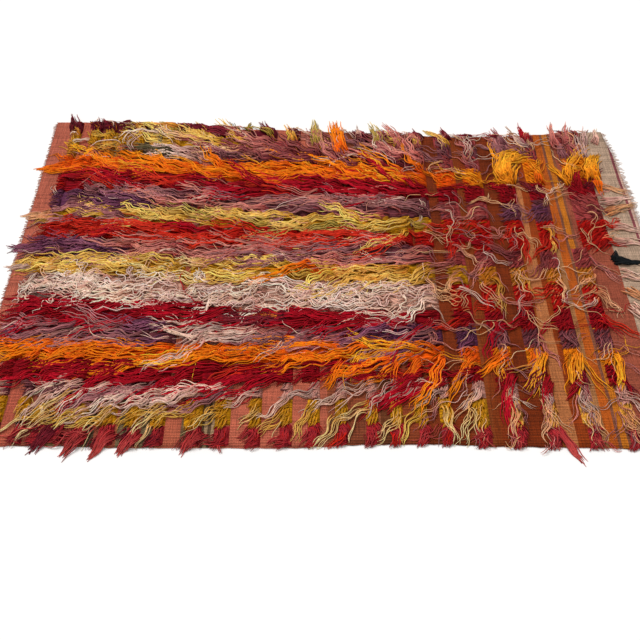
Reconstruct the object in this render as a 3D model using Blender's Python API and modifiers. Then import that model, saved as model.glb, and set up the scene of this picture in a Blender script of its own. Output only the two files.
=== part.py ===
"""A long pile rug lying flat: a woven ground cloth, its two warp fringes and bands of long knotted yarn.

Metres, +Z up. The origin is on the floor under the cloth, +X runs along the warps, which is the
rug's long way, and +Y runs from the near selvedge to the far one. The yarn is knotted in rows
across the cloth and lies towards -X, so each band of one colour is a lumpy slab with a lump at
every row. Where the pile is thin, the lumps are joined only by the few strands that trail over
the bare cloth. The bands at the two selvedges and the ends of all bands have locks at the rim.
"""

import math
from collections import namedtuple

import bmesh
import bpy
from mathutils import Vector

# Driving sizes
CLOTH_THICKNESS = 0.003
LEFT_END = -0.955
CLEARANCE = 0.0003
BAND_GAP = 0.001
HEM_SHOWN = 0.004
CLOTH_CELLS_LONG = 26
PILE_BASE = CLOTH_THICKNESS + CLEARANCE

# Pile heights above the cloth, and the slope of a band's sides
CREST_HEIGHT = 0.0165
CREST_SPREAD = 0.0035
ROOT_HEIGHT = 0.0075
THIN_CREST_HEIGHT = 0.0135
SIDE_SLOPE = 0.30
NECK_WIDTH = 0.016
NECK_HEIGHT = 0.0035
NARROWEST_BAND = 0.018

# Fringe at the warp ends
FRINGE_STRIP_WIDTH = 0.004
FRINGE_THICKNESS = 0.0026
FRINGE_STRANDS = 34
FRINGE_CELLS = 2 * FRINGE_STRANDS + 1
FRINGE_LENGTH = 0.011
FRINGE_SPREAD = 0.003
FRINGE_TIP = 0.0015

# The cloth's edges, eased from row to row
EdgePoint = namedtuple("EdgePoint", "at edge")
NEAR_SELVEDGE = (
    EdgePoint(at=-0.955, edge=-0.597),
    EdgePoint(at=-0.740, edge=-0.594),
    EdgePoint(at=-0.540, edge=-0.600),
    EdgePoint(at=-0.140, edge=-0.601),
    EdgePoint(at=0.110, edge=-0.591),
    EdgePoint(at=0.260, edge=-0.590),
    EdgePoint(at=0.460, edge=-0.598),
    EdgePoint(at=0.955, edge=-0.605),
)
FAR_SELVEDGE = (
    EdgePoint(at=-0.955, edge=0.628),
    EdgePoint(at=-0.740, edge=0.627),
    EdgePoint(at=-0.540, edge=0.611),
    EdgePoint(at=-0.240, edge=0.590),
    EdgePoint(at=0.160, edge=0.573),
    EdgePoint(at=0.410, edge=0.553),
    EdgePoint(at=0.560, edge=0.555),
    EdgePoint(at=0.955, edge=0.578),
)
RIGHT_END = (
    EdgePoint(at=-0.605, edge=0.950),
    EdgePoint(at=-0.100, edge=0.961),
    EdgePoint(at=0.250, edge=0.965),
    EdgePoint(at=0.420, edge=0.958),
    EdgePoint(at=0.578, edge=0.941),
)
LEFT_END_WAVE = 0.0018
LEFT_END_WAVES = 5.5

# The rows of knots, from the left end to the right one. root is the crisp side where the yarn
# leaves the cloth, and width is how far the tuft itself lies, in the far bands and then in the
# first NEAR_BANDS ones. A reach is how far the row's lock passes a selvedge, and a sway is how
# far its tip leans along X.
NEAR_BANDS = 10
KnotRow = namedtuple(
    "KnotRow", "root width near_root near_width near_reach near_sway far_reach far_sway")
KNOT_ROWS = (
    KnotRow(-0.862, 0.030, -0.864, 0.030, 0.020, -0.010, 0.042, -0.016),
    KnotRow(-0.795, 0.042, -0.798, 0.042, 0.000, 0.000, 0.000, 0.000),
    KnotRow(-0.740, 0.050, -0.744, 0.050, 0.014, -0.010, 0.018, -0.012),
    KnotRow(-0.690, 0.045, -0.694, 0.045, 0.000, 0.000, 0.000, 0.000),
    KnotRow(-0.640, 0.050, -0.645, 0.050, 0.038, -0.028, 0.000, 0.000),
    KnotRow(-0.567, 0.060, -0.572, 0.060, 0.045, -0.024, 0.020, -0.012),
    KnotRow(-0.500, 0.055, -0.505, 0.055, 0.036, -0.022, 0.026, -0.014),
    KnotRow(-0.435, 0.055, -0.440, 0.055, 0.014, -0.010, 0.000, 0.000),
    KnotRow(-0.340, 0.060, -0.345, 0.060, 0.032, -0.022, 0.040, -0.018),
    KnotRow(-0.265, 0.055, -0.277, 0.050, 0.016, -0.014, 0.018, -0.010),
    KnotRow(-0.184, 0.055, -0.190, 0.050, 0.000, 0.000, 0.018, -0.010),
    KnotRow(-0.106, 0.045, -0.115, 0.040, 0.000, 0.000, 0.016, -0.008),
    KnotRow(-0.029, 0.045, -0.042, 0.040, 0.000, 0.000, 0.032, -0.010),
    KnotRow(0.042, 0.045, 0.033, 0.040, 0.016, -0.006, 0.058, -0.034),
    KnotRow(0.123, 0.050, 0.112, 0.042, 0.034, 0.006, 0.034, -0.016),
    KnotRow(0.186, 0.045, 0.175, 0.040, 0.014, -0.010, 0.038, -0.018),
    KnotRow(0.250, 0.045, 0.242, 0.042, 0.024, -0.016, 0.048, -0.016),
    KnotRow(0.312, 0.050, 0.306, 0.045, 0.000, 0.000, 0.022, -0.014),
    KnotRow(0.403, 0.053, 0.395, 0.048, 0.022, -0.010, 0.036, -0.018),
    KnotRow(0.494, 0.056, 0.487, 0.050, 0.014, 0.004, 0.000, 0.000),
    KnotRow(0.596, 0.052, 0.578, 0.045, 0.062, 0.030, 0.040, -0.010),
    KnotRow(0.692, 0.045, 0.676, 0.042, 0.024, 0.008, 0.038, -0.014),
    KnotRow(0.858, 0.092, 0.779, 0.044, 0.018, 0.006, 0.052, -0.018),
)

# The bands of one colour, from the near selvedge to the far one. share is where the band ends, as
# a part of the cloth's width there, dense_until the x past which the cloth shows between the rows,
# and the ends are where the last strands lie on the left and on the right.
Band = namedtuple("Band", "name share dense_until left_tip right_tip colour")
CORAL = (0.60, 0.10, 0.09)
YELLOW = (0.70, 0.42, 0.05)
PINK = (0.66, 0.42, 0.38)
CRIMSON = (0.36, 0.012, 0.022)
ORANGE = (0.90, 0.25, 0.01)
MAUVE = (0.30, 0.15, 0.20)
CREAM = (0.76, 0.60, 0.48)
RED = (0.55, 0.035, 0.03)
PLUM = (0.24, 0.07, 0.10)
WINE = (0.20, 0.022, 0.04)
BANDS = (
    Band("pile_coral_near", 0.050, -0.30, -0.905, 0.890, CORAL),
    Band("pile_yellow_near", 0.112, -0.30, -0.915, 0.885, YELLOW),
    Band("pile_pink_near", 0.161, -0.22, -0.925, 0.890, PINK),
    Band("pile_crimson_near", 0.208, -0.08, -0.930, 0.885, CRIMSON),
    Band("pile_orange_near", 0.256, 0.34, -0.986, 0.895, ORANGE),
    Band("pile_mauve_near", 0.312, 0.34, -0.960, 0.905, MAUVE),
    Band("pile_crimson_middle", 0.372, 0.34, -0.930, 0.925, CRIMSON),
    Band("pile_cream_middle", 0.446, 0.34, -0.925, 0.935, CREAM),
    Band("pile_yellow_middle", 0.503, 0.34, -0.978, 0.900, YELLOW),
    Band("pile_mauve_middle", 0.562, 0.34, -0.992, 0.884, MAUVE),
    Band("pile_red_middle", 0.618, 0.27, -0.935, 0.930, RED),
    Band("pile_yellow_back", 0.664, 0.27, -0.984, 0.975, YELLOW),
    Band("pile_mauve_back", 0.732, 0.34, -0.915, 0.990, MAUVE),
    Band("pile_crimson_back", 0.790, 0.34, -0.905, 0.950, CRIMSON),
    Band("pile_orange_back", 0.851, 0.34, -0.988, 0.925, ORANGE),
    Band("pile_plum_back", 0.905, 0.34, -0.900, 0.920, PLUM),
    Band("pile_yellow_far", 0.957, -0.06, -0.905, 0.905, YELLOW),
    Band("pile_wine_far", 1.000, -0.14, -0.895, 0.900, WINE),
)

# Where the line between a band and the next is pushed aside, as by the big locks thrown back over
# the far bands. after counts the bands from the near selvedge.
Bulge = namedtuple("Bulge", "after x push spread")
BULGES = (
    Bulge(after=15, x=0.625, push=0.088, spread=0.060),
    Bulge(after=16, x=0.625, push=0.064, spread=0.060),
    Bulge(after=17, x=0.625, push=0.024, spread=0.060),
    Bulge(after=15, x=0.840, push=0.052, spread=0.070),
    Bulge(after=16, x=0.840, push=0.034, spread=0.070),
    Bulge(after=7, x=0.020, push=-0.030, spread=0.300),
    Bulge(after=11, x=0.120, push=-0.016, spread=0.160),
    Bulge(after=3, x=-0.450, push=-0.012, spread=0.240),
)
LINE_WAVE = 0.0045
LINE_WAVES = 9.0

# A lock at the rim: it clears the cloth's edge, drops to the floor and thins to its tip
LOCK_SHARE_OF_FACE = 0.85
LOCK_PAST_EDGE = 0.0035
LOCK_EDGE_HEIGHT = 0.0065
LOCK_LANDING = 0.45
LOCK_FLOOR_HEIGHT = 0.0055
LOCK_TIP_WIDTH = 0.004
LOCK_TIP_HEIGHT = 0.0015
END_LOCK_WIDTH = 0.5
END_LOCK_HEIGHT = 0.006
FRINGE_CLEARED = 0.019

# Between two rows that reach over a selvedge, the strands that trail from them do too, less far
TRAIL_REACH = 0.35
TRAIL_LEAST = 0.011

# A dark lock knotted into the bare cloth near the right end
DARK_LOCK_START = Vector((0.868, -0.005))
DARK_LOCK_END = Vector((0.935, 0.012))
DARK_LOCK_WIDTH = 0.034
DARK_LOCK_HEIGHT = 0.014


def eased(points, at):
    """The edge of a table of EdgePoints at this place, eased from each row to the next."""
    if at <= points[0].at:
        return points[0].edge
    for low, high in zip(points, points[1:]):
        if at <= high.at:
            share = (at - low.at) / (high.at - low.at)
            share = share * share * (3 - 2 * share)
            return low.edge + (high.edge - low.edge) * share
    return points[-1].edge


def left_end(y):
    """The x of the cloth's left end."""
    return LEFT_END + LEFT_END_WAVE * math.sin(LEFT_END_WAVES * y)


def right_end(y):
    """The x of the cloth's right end."""
    return eased(RIGHT_END, y)


def unevenness(seed, at):
    """A smooth value from -1 to 1 that differs for every seed, so that no two lumps are alike."""
    return 0.6 * math.sin(37.0 * at + 2.3 * seed) + 0.4 * math.sin(83.0 * at + 5.1 * seed)


def line_after(number, x):
    """The y of the line between band number and the next, at this x. Line 0 is the near hem."""
    near = eased(NEAR_SELVEDGE, x) + HEM_SHOWN
    far = eased(FAR_SELVEDGE, x) - HEM_SHOWN
    if number == 0:
        return near
    if number == len(BANDS):
        return far
    y = near + BANDS[number - 1].share * (far - near)
    y += LINE_WAVE * math.sin(LINE_WAVES * x + 1.9 * number)
    for bulge in BULGES:
        if bulge.after == number:
            y += bulge.push * math.exp(-(((x - bulge.x) / bulge.spread) ** 2))
    return y


def lines_at(x):
    """The y of every line at this x, each at least the narrowest band past the one before."""
    lines = [line_after(number, x) for number in range(len(BANDS) + 1)]
    for number in range(len(BANDS) - 1, 0, -1):
        lines[number] = min(lines[number], lines[number + 1] - NARROWEST_BAND)
    return lines


# A cross-section of a band: its two edges on the cloth, and its height at each shoulder
Station = namedtuple("Station", "x near far near_height far_height")


def row_place(row, number):
    """A row's root and width in one band."""
    if number < NEAR_BANDS:
        return row.near_root, row.near_width
    return row.root, row.width


def full_station(number, x, height):
    """A section as wide as the band."""
    lines = lines_at(x)
    near = lines[number] + BAND_GAP / 2
    far = lines[number + 1] - BAND_GAP / 2
    near_height = height + CREST_SPREAD * unevenness(number, x)
    far_height = height + CREST_SPREAD * unevenness(number + 40, x)
    return Station(x, near, far, near_height, far_height)


def neck_station(number, x):
    """A section of the few strands that trail over the bare cloth."""
    lines = lines_at(x)
    middle = (lines[number] + lines[number + 1]) / 2 + 0.006 * unevenness(number + 9, x)
    return Station(x, middle - NECK_WIDTH / 2, middle + NECK_WIDTH / 2, NECK_HEIGHT, NECK_HEIGHT)


def band_stations(number):
    """A band's sections from left to right, and the place in that list of each row's root."""
    band = BANDS[number]
    stations = []
    roots = {}
    for place, row in enumerate(KNOT_ROWS):
        root, width = row_place(row, number)
        crest_x = root - 0.38 * width
        if root <= band.dense_until:
            if not stations:
                stations.append(full_station(number, root - width, ROOT_HEIGHT))
            stations.append(full_station(number, crest_x, CREST_HEIGHT))
            roots[place] = len(stations)
            stations.append(full_station(number, root, ROOT_HEIGHT))
            continue
        stations.append(neck_station(number, root - width - 0.006))
        stations.append(full_station(number, crest_x, THIN_CREST_HEIGHT))
        roots[place] = len(stations)
        stations.append(full_station(number, root - 0.002, ROOT_HEIGHT))
        stations.append(neck_station(number, root + 0.004))
    return stations, roots


def section_ring(bm, stations):
    """A box cut into one ring for each station, and the ring's four corners moved to its section."""
    bmesh.ops.create_cube(bm, size=1.0)
    lengthwise = [e for e in bm.edges if abs(e.verts[0].co.x - e.verts[1].co.x) > 0.5]
    bmesh.ops.subdivide_edges(bm, edges=lengthwise, cuts=len(stations) - 2)
    last = len(stations) - 1
    for vert in bm.verts:
        station = stations[round((vert.co.x + 0.5) * last)]
        at_far = vert.co.y > 0
        at_top = vert.co.z > 0
        slope = SIDE_SLOPE * (station.far - station.near) if at_top else 0.0
        y = station.far - slope if at_far else station.near + slope
        height = station.far_height if at_far else station.near_height
        vert.co = Vector((station.x, y, PILE_BASE + (height if at_top else 0.0)))


# One section along a lock: its middle, the way across it, and its size
Stage = namedtuple("Stage", "middle across width bottom height")


def draw_out(bm, face, stages):
    """Draws a face out into a four-sided lock through the stages, the last of them its tip."""
    for stage in stages:
        centre = face.calc_center_median()
        lowest = min(vert.co.z for vert in face.verts)
        across = Vector((stage.across[0], stage.across[1], 0.0))
        face = bmesh.ops.extrude_discrete_faces(bm, faces=[face])["faces"][0]
        for vert in face.verts:
            side = math.copysign(stage.width / 2, (vert.co - centre).dot(across))
            at_top = vert.co.z > lowest + LOCK_TIP_HEIGHT / 2
            spot = Vector((stage.middle[0], stage.middle[1], 0.0)) + across * side
            spot.z = stage.bottom + (stage.height if at_top else 0.0)
            vert.co = spot


def side_face(bm, left, right, outwards):
    """A band's slanting side between two stations' x, facing -Y or +Y."""
    for face in bm.faces:
        xs = [vert.co.x for vert in face.verts]
        spans = abs(min(xs) - left) < 1e-6 and abs(max(xs) - right) < 1e-6
        if spans and face.normal.y * outwards > 0.2:
            return face
    raise ValueError("no side face there")


def rim_lock(bm, face, selvedge, outwards, reach, sway):
    """A lock over a selvedge, as wide as the tuft's side, with its tip on the floor."""
    xs = [vert.co.x for vert in face.verts]
    middle_x = (min(xs) + max(xs)) / 2
    width = LOCK_SHARE_OF_FACE * (max(xs) - min(xs))
    edge = eased(selvedge, middle_x)
    spread = max(abs(eased(selvedge, x) - edge) for x in xs)
    past = LOCK_PAST_EDGE + spread
    landing = max(LOCK_LANDING * reach, past + 0.004)
    across = (1.0, 0.0)
    draw_out(bm, face, (
        Stage((middle_x + 0.1 * sway, edge + outwards * past), across,
              width, PILE_BASE, LOCK_EDGE_HEIGHT),
        Stage((middle_x + 0.5 * sway, edge + outwards * landing), across,
              0.7 * width, 0.0, LOCK_FLOOR_HEIGHT),
        Stage((middle_x + sway, edge + outwards * reach), across,
              LOCK_TIP_WIDTH, 0.0, LOCK_TIP_HEIGHT),
    ))


def over_selvedge(bm, stations, roots, number, selvedge, outwards, reaches, sways):
    """A lock for each row that reaches over the selvedge, and for the trails between such rows."""
    for place, row in enumerate(KNOT_ROWS):
        root = roots[place]
        if reaches[place] > 0:
            face = side_face(bm, stations[root - 1].x, stations[root].x, outwards)
            rim_lock(bm, face, selvedge, outwards, reaches[place], sways[place])
        if place > 0 and row_place(row, number)[0] <= BANDS[number].dense_until:
            reach = max(TRAIL_REACH * (reaches[place - 1] + reaches[place]), TRAIL_LEAST)
            face = side_face(bm, stations[root - 2].x, stations[root - 1].x, outwards)
            rim_lock(bm, face, selvedge, outwards, reach, sways[place])


def end_lock(bm, towards, tip_x, sway):
    """A lock drawn out of a band's end cap over the bare cloth, and past its edge where it reaches."""
    face = max(bm.faces, key=lambda f: f.normal.x * towards + f.calc_center_median().x * towards)
    centre = face.calc_center_median()
    ys = [vert.co.y for vert in face.verts]
    width = max(ys) - min(ys)
    across = (0.0, 1.0)
    tip_y = centre.y + sway
    end_x = left_end(tip_y) if towards < 0 else right_end(tip_y)
    over_fringe = end_x + towards * FRINGE_CLEARED
    passes_end = (tip_x - over_fringe) * towards > 0
    stages = [Stage((centre.x + 0.4 * (tip_x - centre.x), centre.y + 0.4 * sway), across,
                    END_LOCK_WIDTH * width, PILE_BASE, END_LOCK_HEIGHT)]
    if passes_end:
        stages.append(Stage((over_fringe, centre.y + 0.8 * sway), across,
                            0.5 * END_LOCK_WIDTH * width, PILE_BASE, 0.5 * END_LOCK_HEIGHT))
    stages.append(Stage((tip_x, tip_y), across, LOCK_TIP_WIDTH,
                        0.0 if passes_end else PILE_BASE, LOCK_TIP_HEIGHT))
    draw_out(bm, face, stages)


def yarn_material(name, colour):
    """A matt wool finish in one colour."""
    material = bpy.data.materials.new(name)
    material.use_nodes = True
    surface = material.node_tree.nodes["Principled BSDF"]
    surface.inputs["Base Color"].default_value = (*colour, 1.0)
    surface.inputs["Roughness"].default_value = 0.85
    surface.inputs["Metallic"].default_value = 0.0
    return material


def add_object(name, bm, material, collection):
    """Makes a named object of a finished bmesh."""
    bmesh.ops.recalc_face_normals(bm, faces=bm.faces)
    mesh = bpy.data.meshes.new(name)
    bm.to_mesh(mesh)
    bm.free()
    mesh.materials.append(material)
    thing = bpy.data.objects.new(name, mesh)
    collection.objects.link(thing)
    return thing


def make_cloth(collection):
    """The woven ground cloth: one flat sheet with the outline of the edge tables."""
    bm = bmesh.new()
    bmesh.ops.create_grid(bm, x_segments=CLOTH_CELLS_LONG, y_segments=FRINGE_CELLS, size=0.5)
    for vert in bm.verts:
        along = vert.co.x + 0.5
        over = vert.co.y + 0.5
        straight_x = LEFT_END + along * (RIGHT_END[1].edge - LEFT_END)
        near = eased(NEAR_SELVEDGE, straight_x)
        far = eased(FAR_SELVEDGE, straight_x)
        y = near + over * (far - near)
        left = left_end(y)
        x = left + along * (right_end(y) - left)
        vert.co = Vector((x, y, 0.0))
    bmesh.ops.dissolve_faces(bm, faces=bm.faces)
    cloth = add_object("ground_cloth", bm, yarn_material("ground_wool", (0.42, 0.13, 0.08)), collection)
    thick = cloth.modifiers.new("Thickness", "SOLIDIFY")
    thick.thickness = CLOTH_THICKNESS
    thick.offset = 1.0
    return cloth


def make_band(number, material, collection):
    """One colour's band of pile, with its end locks and, at a selvedge, its rim locks."""
    band = BANDS[number]
    stations, roots = band_stations(number)
    bm = bmesh.new()
    section_ring(bm, stations)
    bmesh.ops.recalc_face_normals(bm, faces=bm.faces)
    end_lock(bm, -1, band.left_tip, 0.010 * unevenness(number, 0.1))
    end_lock(bm, 1, band.right_tip, 0.012 * unevenness(number, 0.7))
    if number == 0:
        over_selvedge(bm, stations, roots, number, NEAR_SELVEDGE, -1,
                      [row.near_reach for row in KNOT_ROWS], [row.near_sway for row in KNOT_ROWS])
    if number == len(BANDS) - 1:
        over_selvedge(bm, stations, roots, number, FAR_SELVEDGE, 1,
                      [row.far_reach for row in KNOT_ROWS], [row.far_sway for row in KNOT_ROWS])
    return add_object(band.name, bm, material, collection)


def make_fringe(name, end_x, outwards, near, far, material, collection):
    """A narrow strip along a warp end with short strands, level on the floor."""
    bm = bmesh.new()
    bmesh.ops.create_cube(bm, size=1.0)
    lengthwise = [e for e in bm.edges if abs(e.verts[0].co.y - e.verts[1].co.y) > 0.5]
    bmesh.ops.subdivide_edges(bm, edges=lengthwise, cuts=FRINGE_CELLS - 1)
    for vert in bm.verts:
        y = near + (vert.co.y + 0.5) * (far - near)
        outer = vert.co.x * outwards > 0
        offset = CLEARANCE + (FRINGE_STRIP_WIDTH if outer else 0.0)
        z = FRINGE_THICKNESS if vert.co.z > 0 else 0.0
        vert.co = Vector((end_x(y) + outwards * offset, y, z))
    bmesh.ops.recalc_face_normals(bm, faces=bm.faces)
    outer_faces = [face for face in bm.faces if face.normal.x * outwards > 0.9]
    outer_faces.sort(key=lambda face: face.calc_center_median().y)
    for place, face in enumerate(outer_faces):
        if place % 2 == 0:
            continue
        centre = face.calc_center_median()
        length = FRINGE_LENGTH + FRINGE_SPREAD * unevenness(place, centre.y)
        lean = 0.004 * unevenness(place + 3, centre.y)
        tip = (centre.x + outwards * length, centre.y + lean)
        draw_out(bm, face, (Stage(tip, (0.0, 1.0), FRINGE_TIP, 0.0, FRINGE_TIP),))
    return add_object(name, bm, material, collection)


def make_dark_lock(collection):
    """The single dark lock, a bundle that lies on the cloth and thins towards the right end."""
    along = DARK_LOCK_END - DARK_LOCK_START
    across = Vector((-along.y, along.x)).normalized()
    bm = bmesh.new()
    bmesh.ops.create_cube(bm, size=1.0)
    for vert in bm.verts:
        at_end = vert.co.x > 0
        spot = DARK_LOCK_START + along * (0.55 if at_end else 0.0)
        width = DARK_LOCK_WIDTH * (0.8 if at_end else 0.45)
        height = DARK_LOCK_HEIGHT * (0.7 if at_end else 1.0)
        spot = spot + across * math.copysign(width / 2, vert.co.y)
        z = PILE_BASE + (height if vert.co.z > 0 else 0.0)
        vert.co = Vector((spot.x, spot.y, z))
    bmesh.ops.recalc_face_normals(bm, faces=bm.faces)
    face = max(bm.faces, key=lambda f: f.normal.x)
    draw_out(bm, face, (
        Stage(tuple(DARK_LOCK_END), tuple(across), 0.006, PILE_BASE, 0.002),
    ))
    material = yarn_material("dark_wool", (0.02, 0.022, 0.025))
    return add_object("dark_lock", bm, material, collection)


def main():
    for thing in list(bpy.data.objects):
        bpy.data.objects.remove(thing)
    rug = bpy.data.collections.new("long_pile_rug")
    bpy.context.scene.collection.children.link(rug)
    make_cloth(rug)
    warp = yarn_material("warp_wool", (0.62, 0.40, 0.32))
    make_fringe("fringe_left", left_end, -1, NEAR_SELVEDGE[0].edge, FAR_SELVEDGE[0].edge, warp, rug)
    make_fringe("fringe_right", right_end, 1, NEAR_SELVEDGE[-1].edge, FAR_SELVEDGE[-1].edge, warp, rug)
    yarns = {}
    for number, band in enumerate(BANDS):
        if band.colour not in yarns:
            yarns[band.colour] = yarn_material("yarn_" + band.name.split("_")[1], band.colour)
        make_band(number, yarns[band.colour], rug)
    make_dark_lock(rug)


main()
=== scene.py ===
"""The long pile rug's looks: striped ground cloth, bands of long wavy wool, fringed ends, floor and light."""

import math
from collections import namedtuple
from types import SimpleNamespace

import bmesh
import bpy
import numpy as np
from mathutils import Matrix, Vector


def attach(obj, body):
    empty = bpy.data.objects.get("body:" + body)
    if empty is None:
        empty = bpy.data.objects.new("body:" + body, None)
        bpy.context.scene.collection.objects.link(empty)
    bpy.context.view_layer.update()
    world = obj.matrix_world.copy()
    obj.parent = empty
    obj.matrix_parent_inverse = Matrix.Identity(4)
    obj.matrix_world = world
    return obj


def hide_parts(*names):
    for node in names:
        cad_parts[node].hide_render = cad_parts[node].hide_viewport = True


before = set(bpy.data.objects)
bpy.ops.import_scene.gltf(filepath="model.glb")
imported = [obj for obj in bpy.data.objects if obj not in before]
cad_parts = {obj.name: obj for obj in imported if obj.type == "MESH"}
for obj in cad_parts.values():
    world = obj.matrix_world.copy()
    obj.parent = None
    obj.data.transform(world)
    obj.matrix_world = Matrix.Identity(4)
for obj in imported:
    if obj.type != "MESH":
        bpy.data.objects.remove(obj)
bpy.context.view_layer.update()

# Sizes that the cloth and the bands share with the part
CLOTH_THICKNESS = 0.003
LEFT_END = -0.955
PILE_BASE = 0.0033
HEM_SHOWN = 0.004
NARROWEST_BAND = 0.018
LINE_WAVE = 0.0045
LINE_WAVES = 9.0
LINE_PHASE = 1.9
LEFT_END_WAVE = 0.0018
LEFT_END_WAVES = 5.5


def table(kind, columns, *rows, defaults=()):
    """Rows of values whose columns have names."""
    row_of = namedtuple(kind, columns, defaults=defaults)
    return tuple(row_of(*row) for row in rows)


NEAR_SELVEDGE = table(
    "EdgePoint", "at edge",
    (-0.955, -0.597), (-0.74, -0.594), (-0.54, -0.6), (-0.14, -0.601), (0.11, -0.591),
    (0.26, -0.59), (0.46, -0.598), (0.955, -0.605),
)
FAR_SELVEDGE = table(
    "EdgePoint", "at edge",
    (-0.955, 0.628), (-0.74, 0.627), (-0.54, 0.611), (-0.24, 0.59), (0.16, 0.573),
    (0.41, 0.553), (0.56, 0.555), (0.955, 0.578),
)
RIGHT_END = table(
    "EdgePoint", "at edge",
    (-0.605, 0.95), (-0.1, 0.961), (0.25, 0.965), (0.42, 0.958), (0.578, 0.941),
)

# The rows of knots: root is the crisp side, width how far the knots reach to the left of it, in the
# far bands and then in the first NEAR_BANDS ones
NEAR_BANDS = 10
KNOT_ROWS = table(
    "KnotRow", "root width near_root near_width",
    (-0.862, 0.03, -0.864, 0.03), (-0.795, 0.042, -0.798, 0.042), (-0.74, 0.05, -0.744, 0.05),
    (-0.69, 0.045, -0.694, 0.045), (-0.64, 0.05, -0.645, 0.05), (-0.567, 0.06, -0.572, 0.06),
    (-0.5, 0.055, -0.505, 0.055), (-0.435, 0.055, -0.44, 0.055), (-0.34, 0.06, -0.345, 0.06),
    (-0.265, 0.055, -0.277, 0.05), (-0.184, 0.055, -0.19, 0.05), (-0.106, 0.045, -0.115, 0.04),
    (-0.029, 0.045, -0.042, 0.04), (0.042, 0.045, 0.033, 0.04), (0.123, 0.05, 0.112, 0.042),
    (0.186, 0.045, 0.175, 0.04), (0.25, 0.045, 0.242, 0.042), (0.312, 0.05, 0.306, 0.045),
    (0.403, 0.053, 0.395, 0.048), (0.494, 0.056, 0.487, 0.05), (0.596, 0.052, 0.578, 0.045),
    (0.692, 0.045, 0.676, 0.042), (0.858, 0.092, 0.779, 0.044),
)

# Wool colours as seen in daylight: at the knot, and at the worn, sunned tip
Wool = namedtuple("Wool", "knot tip")
WOOLS = {
    "orange": Wool((232, 88, 2), (248, 136, 18)),
    "amber": Wool((224, 124, 6), (250, 172, 44)),
    "crimson": Wool((142, 4, 22), (182, 14, 38)),
    "red": Wool((178, 18, 12), (214, 56, 34)),
    "coral": Wool((160, 36, 44), (204, 88, 82)),
    "wine": Wool((100, 16, 32), (142, 44, 56)),
    "mauve": Wool((112, 54, 62), (178, 118, 118)),
    "purple": Wool((98, 48, 78), (148, 88, 108)),
    "rose": Wool((158, 62, 62), (210, 138, 124)),
    "plum": Wool((108, 32, 42), (162, 86, 84)),
    "mustard": Wool((194, 134, 12), (244, 200, 108)),
    "straw": Wool((206, 146, 52), (244, 216, 160)),
    "gold": Wool((192, 114, 24), (234, 172, 86)),
    "olive": Wool((150, 118, 30), (208, 178, 96)),
    "cream": Wool((214, 162, 142), (254, 219, 202)),
    "peach": Wool((208, 132, 84), (240, 188, 144)),
    "pink": Wool((196, 138, 124), (240, 204, 186)),
    "ash": Wool((158, 118, 110), (216, 182, 168)),
    "umber": Wool((60, 50, 36), (108, 94, 66)),
    "dark": Wool((14, 17, 19), (40, 45, 48)),
}

# What a band is knotted with from its left end to each x: the main wool, and one mixed into it
Run = namedtuple("Run", "until wool mixed share")
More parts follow.
